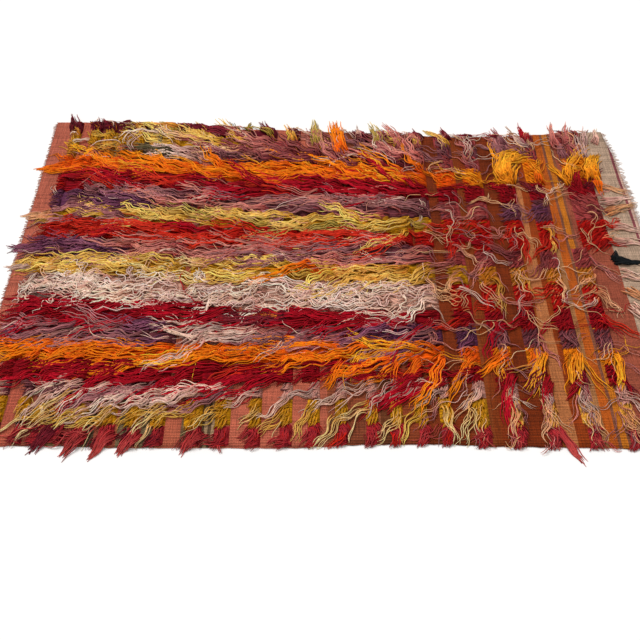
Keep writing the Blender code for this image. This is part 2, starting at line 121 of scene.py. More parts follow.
# fill is how much of a knot row it fills where it is thin, clump how many knots draw together, curl how
# much its yarn waves, left_tip where its last yarns end, and stray what odd yarns it has. The pile is
# dense from one x to another, and some of the locks there, the share over_left, pass the bare left strip
Band = namedtuple("Band", "node share dense_from dense_until over_left fill clump curl left_tip stray runs")
BANDS = (
    Band("pile_coral_near", 0.05, 9.0, -0.3, 0.1, 0.58, 14, 0.8, -0.905, "coral", (
        Run(-0.8, "wine", "coral", 0.5), Run(-0.6, "coral", "wine", 0.5), Run(-0.3, "coral", "wine", 0.35),
        Run(0.45, "coral", "red", 0.3), Run(2.0, "coral", "wine", 0.35))),
    Band("pile_yellow_near", 0.112, 9.0, -0.3, 0.1, 0.68, 7, 1.0, -0.915, "straw", (
        Run(-0.3, "mustard", "straw", 0.3), Run(0.2, "mustard", "straw", 0.5),
        Run(0.45, "mustard", "straw", 0.6), Run(2.0, "straw", "peach", 0.5))),
    Band("pile_pink_near", 0.161, -0.62, -0.22, 0.15, 0.5, 7, 1.1, -0.925, "pink", (
        Run(-0.5, "mauve", "pink", 0.35), Run(-0.1, "pink", "mauve", 0.35), Run(2.0, "pink", "ash", 0.4))),
    Band("pile_crimson_near", 0.208, -0.8, -0.08, 0.15, 0.95, 5, 0.8, -0.93, "crimson", (
        Run(-0.55, "crimson", "wine", 0.25), Run(0.45, "crimson", "red", 0.15),
        Run(2.0, "crimson", "wine", 0.4))),
    Band("pile_orange_near", 0.256, -0.84, 0.34, 0.5, 1.0, 5, 0.95, -0.975, "amber", (
        Run(0.45, "orange", "amber", 0.12), Run(2.0, "amber", "orange", 0.25))),
    Band("pile_mauve_near", 0.312, -0.84, 0.34, 0.4, 1.0, 5, 1.0, -0.955, "pink", (
        Run(-0.42, "mauve", "purple", 0.4), Run(-0.12, "ash", "pink", 0.4), Run(0.1, "rose", "mauve", 0.4),
        Run(0.45, "purple", "mauve", 0.4), Run(2.0, "mauve", "rose", 0.4))),
    Band("pile_crimson_middle", 0.372, -0.84, 0.34, 0.4, 1.0, 5, 0.7, -0.965, "crimson", (
        Run(0.33, "crimson", "wine", 0.1), Run(2.0, "crimson", "red", 0.4))),
    Band("pile_cream_middle", 0.446, -0.84, 0.34, 0.15, 1.0, 5, 1.5, -0.93, "cream", (
        Run(-0.7, "ash", "cream", 0.5), Run(0.34, "cream", "pink", 0.2), Run(2.0, "red", "peach", 0.4))),
    Band("pile_yellow_middle", 0.503, -0.84, 0.34, 0.4, 1.0, 5, 1.25, -0.97, "peach", (
        Run(-0.05, "mustard", "straw", 0.2), Run(0.05, "orange", "mustard", 0.4),
        Run(0.34, "mustard", "gold", 0.3), Run(0.45, "mustard", "peach", 0.3),
        Run(2.0, "gold", "peach", 0.4))),
    Band("pile_mauve_middle", 0.562, -0.84, 0.34, 0.75, 1.0, 5, 0.9, -0.98, "pink", (
        Run(-0.6, "purple", "mauve", 0.4), Run(-0.05, "rose", "mauve", 0.35), Run(0.28, "mauve", "rose", 0.4),
        Run(0.7, "rose", "plum", 0.5), Run(2.0, "rose", "plum", 0.5))),
    Band("pile_red_middle", 0.618, -0.84, 0.27, 0.35, 1.0, 5, 0.85, -0.935, "rose", (
        Run(0.3, "red", "crimson", 0.15), Run(2.0, "red", "crimson", 0.35))),
    Band("pile_yellow_back", 0.664, -0.84, 0.27, 0.4, 1.0, 5, 1.2, -0.975, "peach", (
        Run(-0.55, "mustard", "mauve", 0.35), Run(0.36, "mustard", "olive", 0.3),
        Run(2.0, "red", "gold", 0.3))),
    Band("pile_mauve_back", 0.732, -0.84, 0.34, 0.2, 1.0, 5, 1.0, -0.915, "pink", (
        Run(-0.55, "purple", "mauve", 0.4), Run(-0.1, "mauve", "rose", 0.4), Run(0.36, "mauve", "rose", 0.3),
        Run(0.52, "rose", "mauve", 0.5), Run(0.7, "mauve", "purple", 0.5), Run(2.0, "rose", "plum", 0.4))),
    Band("pile_crimson_back", 0.79, -0.84, 0.34, 0.2, 1.0, 5, 0.85, -0.905, "rose", (
        Run(0.36, "crimson", "red", 0.15), Run(2.0, "crimson", "wine", 0.3))),
    Band("pile_orange_back", 0.851, -0.84, 0.34, 0.35, 1.0, 5, 1.0, -0.97, "amber", (
        Run(0.48, "orange", "amber", 0.1), Run(2.0, "amber", "orange", 0.2))),
    Band("pile_plum_back", 0.905, -0.56, 0.34, 0.1, 0.8, 5, 1.15, -0.9, "pink", (
        Run(-0.6, "gold", "rose", 0.5), Run(-0.36, "pink", "umber", 0.3), Run(-0.2, "mauve", "plum", 0.4),
        Run(0.3, "plum", "rose", 0.4), Run(2.0, "rose", "mauve", 0.45))),
    Band("pile_yellow_far", 0.957, -0.56, -0.06, 0.1, 0.8, 5, 1.2, -0.905, "cream", (
        Run(-0.62, "mustard", "gold", 0.35), Run(-0.2, "mustard", "peach", 0.35),
        Run(0.05, "rose", "mustard", 0.45), Run(0.3, "mauve", "mustard", 0.4),
        Run(2.0, "mauve", "rose", 0.45))),
    Band("pile_wine_far", 1.0, -0.5, -0.14, 0.1, 0.85, 12, 0.9, -0.895, "pink", (
        Run(-0.4, "wine", "gold", 0.25), Run(-0.05, "wine", "olive", 0.45), Run(0.3, "wine", "rose", 0.5),
        Run(2.0, "rose", "wine", 0.45))),
)

# Where a line between bands swerves: after which band, at which x, how far and over what reach
BULGES = table(
    "Bulge", "after x push spread",
    (15, 0.625, 0.088, 0.06), (16, 0.625, 0.064, 0.06), (17, 0.625, 0.024, 0.06), (15, 0.84, 0.052, 0.07),
    (16, 0.84, 0.034, 0.07), (7, 0.02, -0.03, 0.3), (11, 0.12, -0.016, 0.16), (3, -0.45, -0.012, 0.24),
)

# Which way the wool lies round each place: degrees from +X towards +Y, and how unruly it is
LAYS = table(
    "Lay", "x y degrees unruly",
    (-0.85, 0.56, 132, 14), (-0.6, 0.44, 155, 12), (-0.45, 0.54, 134, 14), (-0.22, 0.54, 122, 16),
    (0.02, 0.54, 106, 18), (0.3, 0.52, 112, 22), (0.52, 0.52, 118, 24), (0.86, 0.54, 108, 24),
    (-0.22, 0.385, 175, 10), (0.02, 0.385, 179, 12), (0.26, 0.385, 174, 14), (0.02, 0.48, 112, 18),
    (0.16, 0.49, 108, 18), (0.3, 0.47, 112, 20), (-0.85, 0.36, 172, 8), (-0.4, 0.34, 166, 10),
    (-0.05, 0.36, 170, 13), (0.3, 0.36, 176, 20), (0.55, 0.34, 150, 40), (0.86, 0.32, 70, 40),
    (-0.85, 0.12, 178, 7), (-0.4, 0.12, 178, 9), (0.0, 0.12, 180, 12), (0.3, 0.12, 184, 18),
    (0.55, 0.12, 215, 42), (0.86, 0.12, 340, 38), (-0.85, -0.12, 181, 7), (-0.4, -0.1, 181, 9),
    (0.0, -0.1, 183, 11), (0.3, -0.1, 186, 16), (0.55, -0.12, 225, 34), (0.86, -0.12, 318, 30),
    (-0.85, -0.32, 188, 8), (-0.4, -0.32, 186, 9), (0.0, -0.3, 192, 12), (0.3, -0.32, 204, 16),
    (0.55, -0.34, 250, 24), (0.86, -0.34, 296, 22), (-0.5, -0.25, 185, 7), (-0.2, -0.25, 187, 8),
    (0.05, -0.25, 190, 10), (-0.62, -0.35, 189, 7), (-0.2, -0.35, 190, 8), (0.14, -0.35, 197, 10),
    (-0.85, -0.52, 208, 10), (-0.5, -0.52, 218, 11), (-0.2, -0.52, 228, 12), (0.1, -0.52, 242, 13),
    (0.3, -0.52, 248, 13), (0.52, -0.52, 264, 14), (0.7, -0.52, 282, 14), (0.88, -0.52, 292, 14),
)
LAY_REACH = 0.13

# Single tufts that stand out: where they are knotted, which way they start and how far they turn in degrees
TUFT_COLUMNS = "x y degrees bend length width strands wool lift"
USUAL_LIFT = 0.003
TUFTS = table(
    "Tuft", TUFT_COLUMNS,
    (-0.885, 0.59, 110, 0, 0.088, 0.04, 14, "wine"),
    (-0.775, 0.605, 125, 0, 0.062, 0.04, 12, "wine"),
    (-0.535, 0.56, 120, 15, 0.106, 0.04, 14, "olive"),
    (-0.41, 0.54, 128, 0, 0.112, 0.034, 12, "mustard"),
    (-0.32, 0.53, 108, 20, 0.15, 0.034, 14, "mustard", 0.004),
    (-0.3, 0.54, 118, 0, 0.112, 0.03, 10, "umber"),
    (-0.21, 0.56, 115, 0, 0.088, 0.03, 12, "wine"),
    (-0.12, 0.52, 110, 0, 0.112, 0.03, 12, "gold"),
    (-0.045, 0.5, 92, 0, 0.15, 0.045, 22, "olive", 0.005),
    (0.042, 0.47, 112, -20, 0.175, 0.05, 28, "orange", 0.009),
    (0.095, 0.54, 92, 0, 0.075, 0.03, 10, "pink"),
    (0.165, 0.51, 92, 15, 0.131, 0.03, 14, "olive", 0.005),
    (0.245, 0.49, 104, 20, 0.15, 0.04, 20, "rose", 0.005),
    (0.31, 0.545, 108, 0, 0.056, 0.034, 12, "wine"),
    (0.3, 0.5, 104, 0, 0.075, 0.03, 9, "mustard", 0.002),
    (0.4, 0.5, 118, 15, 0.125, 0.026, 12, "mustard"),
    (0.405, 0.535, 108, 0, 0.069, 0.03, 12, "wine"),
    (0.56, 0.43, 112, -30, 0.14, 0.012, 6, "amber", 0.004),
    (0.576, 0.435, 92, 0, 0.15, 0.036, 18, "mauve"),
    (0.588, 0.5, 100, 0, 0.112, 0.036, 16, "mauve"),
    (0.655, 0.5, 98, 20, 0.119, 0.03, 14, "ash"),
    (0.672, 0.52, 96, 0, 0.1, 0.03, 12, "crimson"),
    (0.768, 0.5, 92, -12, 0.138, 0.03, 14, "rose"),
    (0.785, 0.44, 92, 0, 0.12, 0.036, 16, "mauve"),
    (0.81, 0.51, 84, -10, 0.119, 0.036, 14, "rose"),
    (0.82, 0.43, 94, 0, 0.11, 0.036, 12, "plum"),
    (0.855, 0.44, 94, -10, 0.14, 0.036, 14, "ash"),
    (0.862, 0.51, 80, -25, 0.106, 0.036, 12, "ash"),
    (0.905, 0.52, 66, 20, 0.088, 0.03, 12, "pink", 0.002),
    (0.59, 0.318, 136, -135, 0.235, 0.03, 20, "amber", 0.01),
    (0.578, 0.335, 124, -120, 0.225, 0.036, 22, "amber", 0.012),
    (0.592, 0.345, 108, -105, 0.19, 0.032, 18, "amber", 0.014),
    (0.592, 0.33, 86, -30, 0.11, 0.03, 14, "amber", 0.009),
    (0.69, 0.325, 120, -40, 0.09, 0.03, 14, "orange", 0.006),
    (0.688, 0.345, 106, 10, 0.08, 0.024, 10, "amber", 0.006),
    (0.778, 0.32, 112, 10, 0.12, 0.024, 12, "amber", 0.006),
    (0.785, 0.35, 88, -50, 0.205, 0.022, 12, "amber", 0.009),
    (0.78, 0.33, 108, -110, 0.13, 0.02, 8, "amber", 0.009),
    (0.85, 0.345, 112, -90, 0.15, 0.046, 18, "amber", 0.011),
    (0.872, 0.35, 96, -40, 0.125, 0.04, 18, "amber", 0.009),
    (0.868, 0.345, 272, 20, 0.075, 0.034, 16, "orange", 0.006),
    (0.862, 0.365, 290, 10, 0.07, 0.02, 9, "amber", 0.006),
    (0.8, 0.325, 62, 10, 0.07, 0.044, 14, "crimson", 0.004),
    (0.573, -0.32, 262, -25, 0.165, 0.036, 16, "amber", 0.006),
    (0.655, -0.325, 250, 20, 0.125, 0.02, 8, "amber", 0.006),
    (0.672, -0.325, 262, -15, 0.155, 0.03, 12, "amber", 0.006),
    (0.676, -0.33, 290, 20, 0.17, 0.012, 4, "amber", 0.004),
    (0.776, -0.325, 268, -20, 0.13, 0.03, 14, "amber", 0.006),
    (0.57, -0.35, 196, 10, 0.15, 0.01, 4, "gold", 0.004),
    (0.39, -0.335, 222, 25, 0.2, 0.022, 10, "orange", 0.005),
    (0.48, -0.33, 205, 20, 0.13, 0.04, 14, "orange", 0.005),
    (0.03, -0.345, 240, 10, 0.11, 0.034, 12, "orange", 0.004),
    (0.17, -0.345, 258, 10, 0.09, 0.014, 5, "orange", 0.004),
    (0.24, -0.345, 236, 10, 0.12, 0.03, 12, "orange", 0.004),
    (0.23, -0.4, 206, 12, 0.21, 0.05, 22, "crimson", 0.005),
    (0.3, -0.395, 208, 10, 0.23, 0.05, 22, "crimson", 0.005),
    (0.486, -0.39, 236, 50, 0.2, 0.03, 12, "crimson", 0.005),
    (0.578, -0.4, 252, 10, 0.12, 0.034, 14, "crimson", 0.004),
    (0.676, -0.4, 220, 10, 0.09, 0.026, 9, "crimson"),
    (-0.14, -0.2, 186, 10, 0.11, 0.03, 10, "amber", 0.004),
    (0.572, -0.552, 300, 2, 0.112, 0.026, 30, "coral"),
    (-0.7, -0.4, 186, 40, 0.18, 0.036, 6, "pink", 0.006),
    (-0.665, -0.415, 190, 48, 0.2, 0.04, 7, "pink", 0.006),
    (-0.69, -0.44, 206, 36, 0.18, 0.036, 6, "straw", 0.006),
    (-0.74, -0.45, 204, 44, 0.17, 0.036, 6, "pink", 0.006),
    (-0.72, -0.5, 204, 30, 0.15, 0.036, 6, "straw", 0.006),
    (-0.6, -0.43, 196, 30, 0.19, 0.026, 5, "purple", 0.005),
    (-0.64, -0.49, 205, 40, 0.16, 0.03, 5, "straw", 0.006),
    (-0.57, -0.49, 206, 44, 0.16, 0.03, 6, "straw", 0.006),
    (-0.5, -0.43, 200, 32, 0.18, 0.03, 7, "ash", 0.005),
    (-0.44, -0.48, 204, 40, 0.17, 0.03, 6, "straw", 0.006),
    (-0.72, -0.545, 226, 10, 0.09, 0.04, 26, "wine"),
    (-0.645, -0.56, 232, 0, 0.085, 0.04, 26, "coral"),
    (-0.572, -0.56, 234, 0, 0.095, 0.042, 28, "coral"),
    (-0.505, -0.56, 238, 0, 0.082, 0.036, 24, "coral"),
    (-0.345, -0.56, 232, 0, 0.075, 0.045, 22, "coral"),
    (-0.885, 0.405, 186, 0, 0.11, 0.04, 14, "orange", 0.002),
    (-0.88, 0.19, 184, 0, 0.11, 0.04, 12, "peach", 0.002),
    (-0.88, 0.055, 180, 0, 0.115, 0.04, 18, "purple", 0.002),
    (-0.89, -0.015, 190, 0, 0.1, 0.026, 8, "ash", 0.002),
    (0.868, 0.325, 330, 10, 0.12, 0.03, 9, "peach"),
    (0.872, 0.245, 12, 20, 0.115, 0.04, 11, "pink", 0.002),
    (0.872, 0.2, 22, -20, 0.12, 0.04, 10, "peach", 0.002),
    (0.874, 0.14, 345, 10, 0.1, 0.045, 11, "pink", 0.002),
    (0.874, 0.08, 5, -30, 0.11, 0.04, 10, "pink", 0.002),
    (0.86, -0.04, 335, 20, 0.1, 0.04, 10, "cream", 0.002),
    (0.86, -0.1, 318, 20, 0.11, 0.045, 10, "peach", 0.002),
    (0.86, -0.16, 305, 10, 0.1, 0.045, 9, "cream", 0.002),
    defaults=[USUAL_LIFT],
)

# The cloth's weft stripes from its left end: where each ends, and its colour in daylight
STRIPES = table(
    "Stripe", "until colour",
    (-0.895, (196, 104, 82)), (-0.86, (178, 90, 70)), (-0.833, (194, 96, 74)),
    (-0.742, (152, 78, 58)), (-0.715, (150, 118, 74)), (-0.65, (152, 78, 58)),
    (-0.62, (88, 70, 50)), (-0.565, (172, 88, 64)), (-0.54, (126, 106, 76)),
    (-0.5, (182, 94, 70)), (-0.47, (126, 106, 76)), (-0.402, (188, 98, 72)),
    (-0.386, (112, 84, 58)), (-0.344, (194, 100, 74)), (-0.337, (98, 74, 54)),
    (-0.33, (172, 140, 106)), (-0.322, (98, 74, 54)), (-0.315, (172, 140, 106)),
    (-0.31, (98, 74, 54)), (-0.06, (198, 104, 80)), (-0.02, (186, 98, 74)),
    (0.05, (148, 76, 48)), (0.082, (140, 70, 44)), (0.112, (150, 86, 58)),
    (0.15, (112, 60, 32)), (0.24, (146, 66, 36)), (0.308, (134, 56, 22)),
    (0.35, (126, 48, 12)), (0.395, (134, 58, 26)), (0.404, (142, 68, 26)),
    (0.422, (136, 58, 16)), (0.487, (136, 52, 12)), (0.555, (124, 46, 8)),
    (0.578, (156, 80, 26)), (0.618, (192, 118, 70)), (0.655, (154, 62, 14)),
    (0.694, (176, 118, 72)), (0.714, (196, 94, 26)), (0.722, (140, 84, 62)),
    (0.746, (208, 120, 30)), (0.755, (142, 84, 58)), (0.858, (166, 84, 62)),
    (0.94, (196, 166, 142)), (0.949, (150, 78, 84)), (1.1, (244, 202, 182)),
)


def eased(points, at):
    """The edge of a table of EdgePoints at these places, eased from each row to the next."""
    at = np.asarray(at, float)
    marks = np.array([point.at for point in points])
    edges = np.array([point.edge for point in points])
    low = np.clip(np.searchsorted(marks, at, side="right") - 1, 0, len(marks) - 2)
    share = np.clip((at - marks[low]) / (marks[low + 1] - marks[low]), 0, 1)
    share = share * share * (3 - 2 * share)
    return edges[low] + (edges[low + 1] - edges[low]) * share


def left_end(y):
    return LEFT_END + LEFT_END_WAVE * np.sin(LEFT_END_WAVES * np.asarray(y, float))


def right_end(y):
    return eased(RIGHT_END, y)


def lines_at(x):
    """The y of every line between bands at each x, as one row for each line."""
    x = np.asarray(x, float)
    near = eased(NEAR_SELVEDGE, x) + HEM_SHOWN
    far = eased(FAR_SELVEDGE, x) - HEM_SHOWN
    lines = [near]
    for number in range(1, len(BANDS)):
        y = near + BANDS[number - 1].share * (far - near)
        y = y + LINE_WAVE * np.sin(LINE_WAVES * x + LINE_PHASE * number)
        for bulge in BULGES:
            if bulge.after == number:
                y = y + bulge.push * np.exp(-(((x - bulge.x) / bulge.spread) ** 2))
        lines.append(y)
    lines.append(far)
    for number in range(len(BANDS) - 1, 0, -1):
        lines[number] = np.minimum(lines[number], lines[number + 1] - NARROWEST_BAND)
    return np.array(lines)


def rows_of(number):
    """The places of one band's rows of knots, as KnotRows with only a root and a width in use."""
    if number >= NEAR_BANDS:
        return KNOT_ROWS
    return [row._replace(root=row.near_root, width=row.near_width) for row in KNOT_ROWS]


def is_dense(band, row):
    return band.dense_from <= row.root <= band.dense_until


def to_linear(rgb):
    """A colour as seen, 0 to 255, in the linear values that a shader takes."""
    value = np.asarray(rgb, float) / 255
    return np.where(value <= 0.04045, value / 12.92, ((value + 0.055) / 1.055) ** 2.4)


def lay_at(x, y):
    """The way the wool lies at these places, in radians, and how unruly it is."""
    spots = np.array([(lay.x, lay.y) for lay in LAYS])
    turns = np.radians([lay.degrees for lay in LAYS])
    unruly = np.radians([lay.unruly for lay in LAYS])
    away = (np.asarray(x)[:, None] - spots[:, 0]) ** 2 + (np.asarray(y)[:, None] - spots[:, 1]) ** 2
    weight = np.exp(-away / LAY_REACH**2) + 1e-9
    weight /= weight.sum(axis=1, keepdims=True)
    heading = np.arctan2(weight @ np.sin(turns), weight @ np.cos(turns))
    return heading, weight @ unruly


# The mat of knots under the loose yarn
MAT_HEIGHT = 0.0058
MAT_TRAIL_HEIGHT = 0.0030
MAT_CELL = 0.0080
MAT_EDGE = 0.005
MAT_ROWS_OVER = 8
MAT_LONGEST = 0.070
MAT_GAP = 0.0012
MAT_ROUNDED = 0.14


def mat_height(x, number):
    """The height of a band's mat along it: steep at each row's crisp side, low where the yarn trails."""
    height = np.zeros_like(x)
    band, rows = BANDS[number], rows_of(number)
    for place, row in enumerate(rows):
        trail = rows[place - 1].root if place else row.root - row.width
        dense = is_dense(band, row)
        thin_start = row.root - (1.0 if dense else band.fill) * row.width
        start = max(trail, row.root - MAT_LONGEST) if dense and place else thin_start
        share = np.clip((x - start) / (row.root - start), 0, 1)
        face = np.clip((row.root - x) / MAT_EDGE, 0, 1) ** 0.5
        rise = np.clip((x - start) / (0.6 * row.width), 0, 1) if not dense else 1.0
        low = MAT_TRAIL_HEIGHT if dense else 0.4 * MAT_TRAIL_HEIGHT
        body = (low + (MAT_HEIGHT - low) * share**0.7) * face * rise
        inside = (x > start) & (x < row.root)
        height = np.where(inside, np.maximum(height, body), height)
    return height


GRID_PITCH = 0.004
SMOOTHINGS = 3
GRID_X = np.arange(-1.10, 1.10, GRID_PITCH)
GRID_Y = np.arange(-0.76, 0.76, GRID_PITCH)


def neighbours(height):
    return [np.roll(height, step, axis=(0, 1)) for step in ((0, 1), (0, -1), (1, 0), (-1, 0))]


def surface_grid():
    """The height of what loose yarn lies on, over the whole rug and the floor around it."""
    x, y = np.meshgrid(GRID_X, GRID_Y, indexing="ij")
    on_cloth = (y > eased(NEAR_SELVEDGE, x)) & (y < eased(FAR_SELVEDGE, x))
    on_cloth &= (x > left_end(y)) & (x < right_end(y))
    height = np.where(on_cloth, CLOTH_THICKNESS, 0.0)
    lines = lines_at(GRID_X)
    for number in range(len(BANDS)):
        mat = mat_height(GRID_X, number)[:, None]
        inside = (y > lines[number][:, None]) & (y < lines[number + 1][:, None])
        height = np.where(inside & (mat > 0), PILE_BASE + mat, height)
    height = np.maximum.reduce([height, *neighbours(height)])
    for _ in range(SMOOTHINGS):
        height = sum(neighbours(height), 2 * height) / 6
    return height


SURFACE = surface_grid()


def surface_at(x, y):
    """The height of the surface under these places."""
    across = np.clip((x - GRID_X[0]) / GRID_PITCH, 0, len(GRID_X) - 2)
    along = np.clip((y - GRID_Y[0]) / GRID_PITCH, 0, len(GRID_Y) - 2)
    i, j = across.astype(int), along.astype(int)
    u, v = across - i, along - j
    near = SURFACE[i, j] * (1 - u) + SURFACE[i + 1, j] * u
    far = SURFACE[i, j + 1] * (1 - u) + SURFACE[i + 1, j + 1] * u
    return near * (1 - v) + far * v


# One loose yarn: its sizes are in metres and its turns in radians, and stray is 1 for one that may leave
# the cloth
STRAND_FIELDS = "x y heading bend length radius lift layer wave_turn wave_length phase stray left_tip".split()
NEAR_REACH = 0.011
FAR_REACH = 0.022
RIGHT_TIP = 0.915
STRAY_REACH = 0.072
STRAY_LEFT_TIP = -1.010
STRAY_RIGHT_TIP = 1.020
SHORTENINGS = 9
SHORTER = 0.86
TIP_TAPER = 0.65
RIPPLE = 0.0004
FADED_AFTER = 0.11
ROOT_HEIGHT = 0.0006
ARCH = 0.45
WOOL_RISE = 0.004
STRAND_POINTS = 13
KNOT_POINTS = 5
STRAND_SIDES = 3
LANDING = 0.012
CREST_AT = 0.020
ON_WOOL = 0.0024
STAYS_UP = 0.85
KNOT_LAYER = 0.0008
CREST_SPREAD = 0.018


class Strands:
    """Loose yarns gathered for one piece, with a colour at the knot and one at the tip."""

    def __init__(self):
        self.rows = {field: [] for field in STRAND_FIELDS}
        self.knot = []
        self.tip = []

    def add(self, knot, tip, **values):
        count = len(values["x"])
        for field in STRAND_FIELDS:
            self.rows[field].append(np.broadcast_to(np.asarray(values[field], float), count))
        self.knot.append(np.broadcast_to(knot, (count, 3)))
        self.tip.append(np.broadcast_to(tip, (count, 3)))

    def paths(self, points):
        """The strands' points, their radii and their colours."""
        got = SimpleNamespace(**{field: np.concatenate(rows)[:, None] for field, rows in self.rows.items()})
        for _ in range(SHORTENINGS):
            over = passes_limits(got, *ways(got, points)[:2])
            got.length = np.where(over, SHORTER * got.length, got.length)
        x, y, gone = ways(got, points)
        share = np.linspace(0, 1, points)
        radius = got.radius * (1 - TIP_TAPER * share**4)
        crest = np.exp(-(((gone - CREST_AT) / CREST_SPREAD) ** 2))
        ripple = RIPPLE * np.sin(2 * math.pi * gone / (0.83 * got.wave_length) + 1.7 * got.phase)
        settle = np.clip(gone / LANDING, 0, 1)
        lift = got.lift * (crest + ARCH * np.sin(math.pi * share) ** 2)
        under = surface_at(x, y)
        on_wool = np.clip((under - CLOTH_THICKNESS) / WOOL_RISE, 0, 1)
        loose = got.layer > KNOT_LAYER
        above = ON_WOOL + STAYS_UP * got.layer
        layer = got.layer * (1 - share**2) + above * loose * on_wool * share**2
        z = under + radius + settle * (layer + lift + np.abs(ripple))
        z[:, 0] = CLOTH_THICKNESS + ROOT_HEIGHT
        knot = np.concatenate(self.knot)[:, None, :]
        tip = np.concatenate(self.tip)[:, None, :]
        fade = (np.clip(gone / FADED_AFTER, 0, 1) ** 0.8)[:, :, None]
        colour = knot * (1 - fade) + tip * fade
        return np.stack([x, y, z], axis=2), radius, colour, gone


def ways(got, points):
    """Where each strand runs over the rug, and how far along it each point is."""
    share = np.linspace(0, 1, points)
    gone = got.length * share
    wave = got.wave_turn * np.sin(2 * math.pi * gone / got.wave_length + got.phase)
    slow = 0.5 * got.wave_turn * np.sin(2 * math.pi * gone / (2.9 * got.wave_length) + 2.3 * got.phase)
    heading = got.heading + got.bend * share + wave + slow
    step = got.length / (points - 1)
    middle = (heading[:, 1:] + heading[:, :-1]) / 2
    x = got.x + np.pad(np.cumsum(np.cos(middle) * step, axis=1), ((0, 0), (1, 0)))
    y = got.y + np.pad(np.cumsum(np.sin(middle) * step, axis=1), ((0, 0), (1, 0)))
    return x, y, gone


def passes_limits(got, x, y):
    """Which strands run further past the cloth's edges than the wool does there."""
    stray = got.stray > 0
    uneven = 0.4 + 0.6 * np.abs(np.sin(57 * got.phase))
    near = eased(NEAR_SELVEDGE, x) - np.where(stray, STRAY_REACH, NEAR_REACH * uneven)
    far = eased(FAR_SELVEDGE, x) + np.where(stray, STRAY_REACH, FAR_REACH * uneven)
    left = np.where(stray, STRAY_LEFT_TIP, got.left_tip + 0.03 * (1 - uneven))
    right = np.where(stray, STRAY_RIGHT_TIP, np.maximum(RIGHT_TIP, got.x))
    return ((y < near) | (y > far) | (x < left) | (x > right)).any(axis=1, keepdims=True)


def unit(vectors):
    return vectors / np.maximum(np.linalg.norm(vectors, axis=-1, keepdims=True), 1e-12)


def tube_mesh(name, paths, radius, colour, gone, sides=STRAND_SIDES):
    """One joined mesh of closed tapering tubes along the paths, with their colours and lengths."""
    count, points, _ = paths.shape
    ahead = unit(np.gradient(paths, axis=1))
    beside = unit(np.cross(ahead, np.array([0.0, 0.0, 1.0])))
    above = np.cross(beside, ahead)
    angles = np.radians(90 + 360 * np.arange(sides) / sides)
    ring = (np.cos(angles)[:, None] * beside[:, :, None, :] + np.sin(angles)[:, None] * above[:, :, None, :])
    verts = paths[:, :, None, :] + radius[:, :, None, None] * ring
    index = np.arange(count * points * sides).reshape(count, points, sides)
    following = np.roll(index, -1, axis=2)
    walls = [index[:, :-1], index[:, 1:], following[:, 1:], following[:, :-1]]
    walls = np.stack(walls, axis=-1).reshape(-1, 4)
    roots = index[:, 0, :].reshape(-1, sides)
    tips = index[:, -1, ::-1].reshape(-1, sides)
    faces = [*walls.tolist(), *roots.tolist(), *tips.tolist()]
    mesh = bpy.data.meshes.new(name)
    mesh.from_pydata(verts.reshape(-1, 3), [], faces)
    mesh.polygons.foreach_set("use_smooth", np.ones(len(faces), bool))
    paint = mesh.color_attributes.new("wool", "FLOAT_COLOR", "POINT")
    rgba = np.ones((count, points, sides, 4))
    rgba[..., :3] = colour[:, :, None, :]
    paint.data.foreach_set("color", rgba.ravel())
    loops = np.empty(len(mesh.loops), int)
    mesh.loops.foreach_get("vertex_index", loops)
    along = np.repeat(gone.ravel(), sides)[loops]
    around = (loops % sides) / sides
    uv = mesh.uv_layers.new(name="along")
    uv.data.foreach_set("uv", np.stack([along, around], axis=1).ravel())
    return mesh


def wool_colour(name, rng, count, shade=0.20):
    """Knot and tip colours for some strands of one wool, each a little lighter or darker."""
    wool = WOOLS[name]
    light = 1 + shade * rng.normal(size=(count, 1))
    warm = 1 + 0.04 * rng.normal(size=(count, 3))
    knot = to_linear(wool.knot) * light * warm
    tip = to_linear(wool.tip) * light * warm
    return np.clip(knot, 0.004, 0.95), np.clip(tip, 0.004, 0.95)


def run_at(band, x):
    for run in band.runs:
        if x <= run.until:
            return run
    return band.runs[-1]


# How full the tufts are where the pile is dense and where it is thin
DENSE_LOCKS = 2
THIN_LOCKS = 1
WAVE_LENGTH = 0.062
KNOT_PITCH = 0.0043
THIN_KNOT_PITCH = 0.0034
THIN_KNOT_STEPS = (0.02, 0.30, 0.58)
KNOT_WAVE_LENGTH = 0.034
LEFT_STRIP = -0.832
STUBBY_CLUMP = 10
EDGE_BAND_Y = 0.44
BARE_STRIPES_Y = 0.36


def lock(
    strands, rng, wool, x, y, heading, length, count=7, width=0.03, draw=0.55, bend=0.0, unruly=0.06,
    uneven=0.16, thick=0.0023, lift=0.003, layer=0.002, wave=0.45, wave_length=WAVE_LENGTH, phase=0.0,
    stray=0.0, left_tip=STRAY_LEFT_TIP, faded=0.0, right_of=9.0,
):
    """Some yarns that start side by side, wave as one and draw together towards their tips."""
    offset = ((np.arange(count) + 0.5) / count - 0.5) * width
    offset = offset + 0.12 * width / count * rng.normal(size=count)
    back = 0.16 * width * rng.normal(size=count)
    knot, tip = wool_colour(wool, rng, count)
    length = length * np.clip(1 - uneven * np.abs(rng.normal(size=count)), 0.45, 1)
    strands.add(
        knot + faded * (tip - knot), tip,
        x=np.minimum(x - math.sin(heading) * offset + math.cos(heading) * back, right_of),
        y=y + math.cos(heading) * offset + math.sin(heading) * back,
        heading=heading - draw * offset / length + unruly * rng.normal(size=count),
        bend=bend + 1.6 * unruly * rng.normal(size=count),
        length=length, radius=thick * rng.uniform(0.84, 1.14, size=count),
        lift=lift * rng.uniform(0.7, 1.2, size=count),
        layer=layer + rng.uniform(0.0, 0.0022, size=count),
        wave_turn=wave * rng.uniform(0.88, 1.12, size=count),
        wave_length=wave_length * rng.uniform(0.97, 1.03, size=count),
        phase=phase + 0.22 * rng.normal(size=count), stray=stray, left_tip=left_tip,
    )


